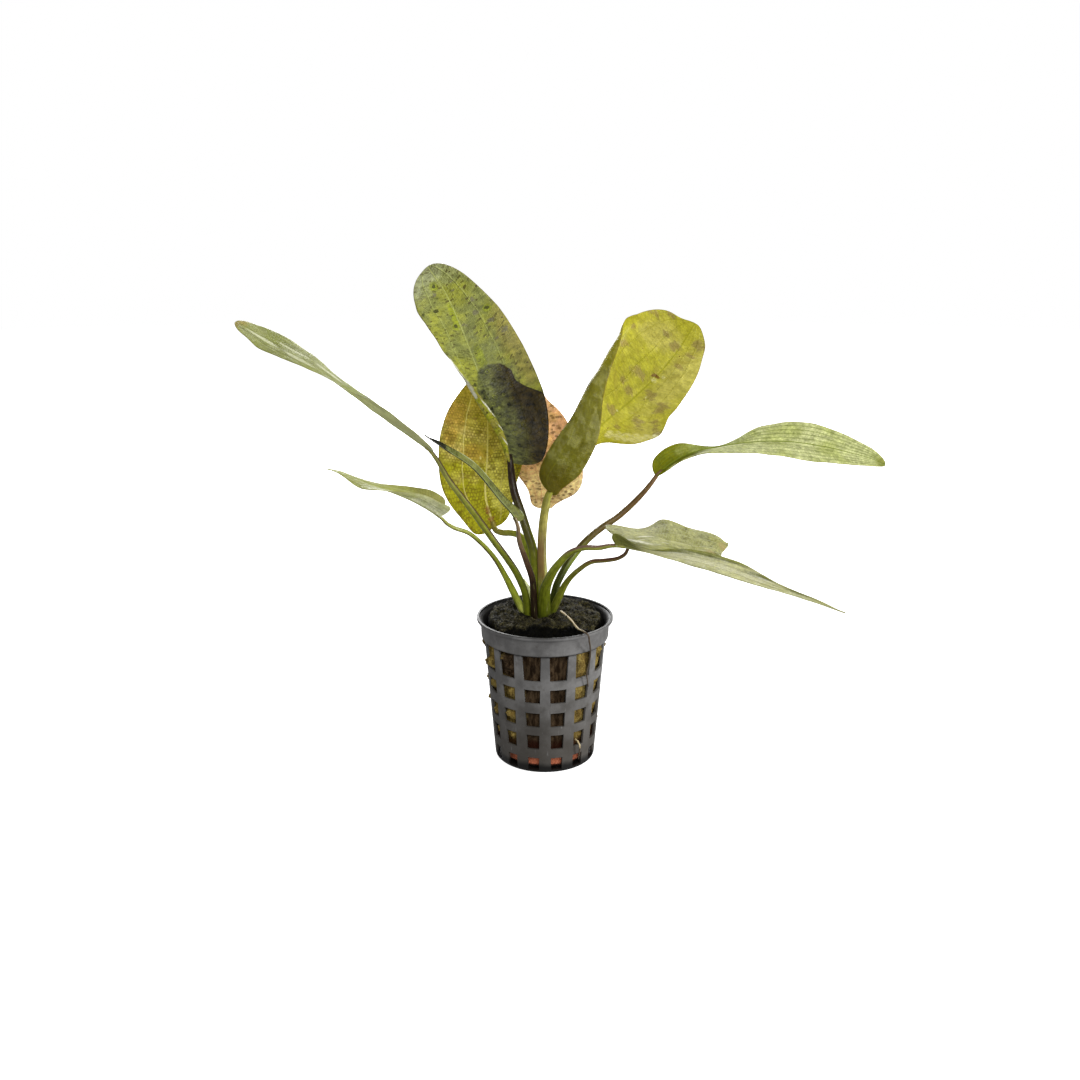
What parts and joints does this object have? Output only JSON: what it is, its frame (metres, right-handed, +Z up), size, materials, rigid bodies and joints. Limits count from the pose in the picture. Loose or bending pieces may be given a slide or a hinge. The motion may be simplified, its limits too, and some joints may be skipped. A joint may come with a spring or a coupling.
{
  "type": "potted amazon sword plant",
  "caption": "Aquarium sword plant in a small net pot: oval, stalked leaves fan out from one crown, set in a dark rockwool plug over a clay disc, with loose roots.",
  "frame": {"origin": "centre of the pot's flat base", "axes": "+Z up the pot's axis towards the leaves, +X to the right and +Y to the back as seen from the front, where a rib of the pot faces the viewer"},
  "size_m": [0.2594, 0.1017, 0.1964],
  "materials": {
    "net_pot": "satin",
    "clay_disc": "matt",
    "rockwool_plug": "fibrous, wet and mossy",
    "crown": "rough",
    "leaf_tall_left": "smooth and thin, some light passes through",
    "stalk_tall_left": "smooth and waxy",
    "leaf_back_left": "smooth and thin, some light passes through",
    "stalk_back_left": "smooth and waxy",
    "leaf_tall_right": "smooth and thin, some light passes through",
    "stalk_tall_right": "smooth and waxy",
    "leaf_back_bronze": "smooth and thin, some light passes through",
    "stalk_back_bronze": "smooth and waxy",
    "leaf_long_left": "smooth and thin, some light passes through",
    "stalk_long_left": "smooth and waxy",
    "leaf_narrow_front": "smooth and thin, some light passes through",
    "stalk_narrow_front": "smooth and waxy",
    "leaf_low_left": "smooth and thin, some light passes through",
    "stalk_low_left": "smooth and waxy",
    "leaf_long_right": "smooth and thin, some light passes through",
    "stalk_long_right": "smooth and waxy",
    "leaf_torn_right": "smooth and thin, some light passes through",
    "stalk_torn_right": "smooth and waxy",
    "leaf_low_right": "smooth and thin, some light passes through",
    "stalk_low_right": "smooth and waxy",
    "leaf_stub": "smooth",
    "root_over_rim": "smooth",
    "root_low_window": "smooth"
  },
  "bodies": {
    "root": {"net_pot": "net_pot", "clay_disc": "clay_disc", "rockwool_plug": "rockwool_plug", "crown": "crown", "leaf_tall_left": "leaf_tall_left", "stalk_tall_left": "stalk_tall_left", "leaf_back_left": "leaf_back_left", "stalk_back_left": "stalk_back_left", "leaf_tall_right": "leaf_tall_right", "stalk_tall_right": "stalk_tall_right", "leaf_back_bronze": "leaf_back_bronze", "stalk_back_bronze": "stalk_back_bronze", "leaf_long_left": "leaf_long_left", "stalk_long_left": "stalk_long_left", "leaf_narrow_front": "leaf_narrow_front", "stalk_narrow_front": "stalk_narrow_front", "leaf_low_left": "leaf_low_left", "stalk_low_left": "stalk_low_left", "leaf_long_right": "leaf_long_right", "stalk_long_right": "stalk_long_right", "leaf_torn_right": "leaf_torn_right", "stalk_torn_right": "stalk_torn_right", "leaf_low_right": "leaf_low_right", "stalk_low_right": "stalk_low_right", "leaf_stub": "leaf_stub", "root_over_rim": "root_over_rim", "root_low_window": "root_low_window"}
  },
  "joints": []
}
